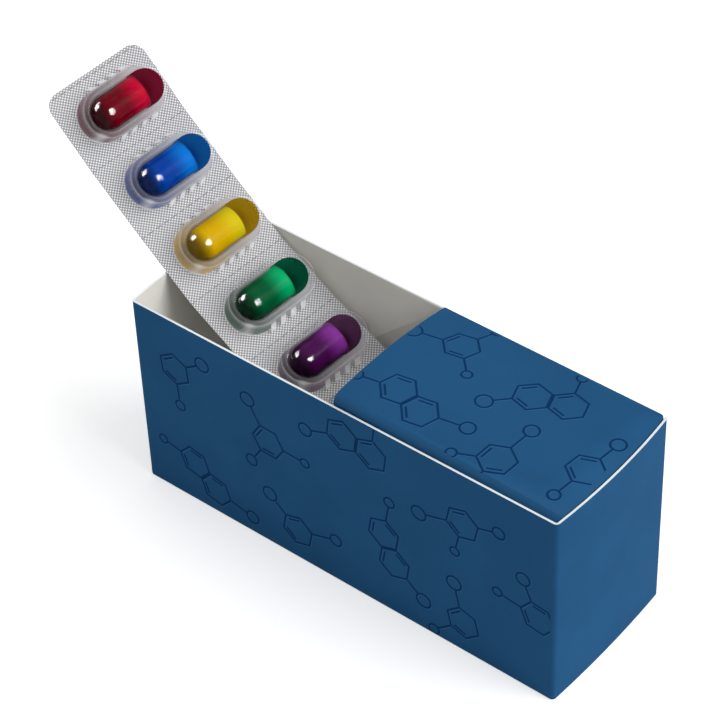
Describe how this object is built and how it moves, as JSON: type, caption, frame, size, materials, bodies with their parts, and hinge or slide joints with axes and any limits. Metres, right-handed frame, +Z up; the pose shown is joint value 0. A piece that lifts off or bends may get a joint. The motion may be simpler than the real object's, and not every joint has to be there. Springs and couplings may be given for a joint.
{
  "type": "unit dose box",
  "caption": "Open board carton with a hinged half lid and a clear blister strip of liquid-filled capsules leaning out of its open end.",
  "frame": {"origin": "middle of the carton's underside", "axes": "+X along the carton to its covered end, +Y to the back wall, +Z up"},
  "size_m": [0.1694, 0.045, 0.0987],
  "materials": {
    "printed_board": "matte print",
    "clear_film": "clear gloss",
    "foil": "knurled satin",
    "red_shell": "clear gloss",
    "red_liquid": "gloss",
    "blue_shell": "clear gloss",
    "blue_liquid": "gloss",
    "yellow_shell": "clear gloss",
    "yellow_liquid": "gloss",
    "green_shell": "clear gloss",
    "green_liquid": "gloss",
    "purple_shell": "clear gloss",
    "purple_liquid": "gloss"
  },
  "bodies": {
    "carton": {"carton": "printed_board", "blister_film": "clear_film", "lidding_foil": "foil", "capsule_1_shell": "red_shell", "capsule_2_shell": "blue_shell", "capsule_3_shell": "yellow_shell", "capsule_4_shell": "green_shell", "capsule_5_shell": "purple_shell", "capsule_6_shell": "red_shell", "capsule_7_shell": "blue_shell", "capsule_1_liquid": "red_liquid", "capsule_2_liquid": "blue_liquid", "capsule_3_liquid": "yellow_liquid", "capsule_4_liquid": "green_liquid", "capsule_5_liquid": "purple_liquid", "capsule_6_liquid": "red_liquid", "capsule_7_liquid": "blue_liquid"},
    "lid": {"lid": "printed_board"}
  },
  "joints": [
    {"name": "lid_hinge", "type": "hinge", "parent": "carton", "child": "lid", "pos_m": [0, 0.02225, 0.06], "axis": [-1, 0, 0], "range_deg": [0, 115]}
  ]
}
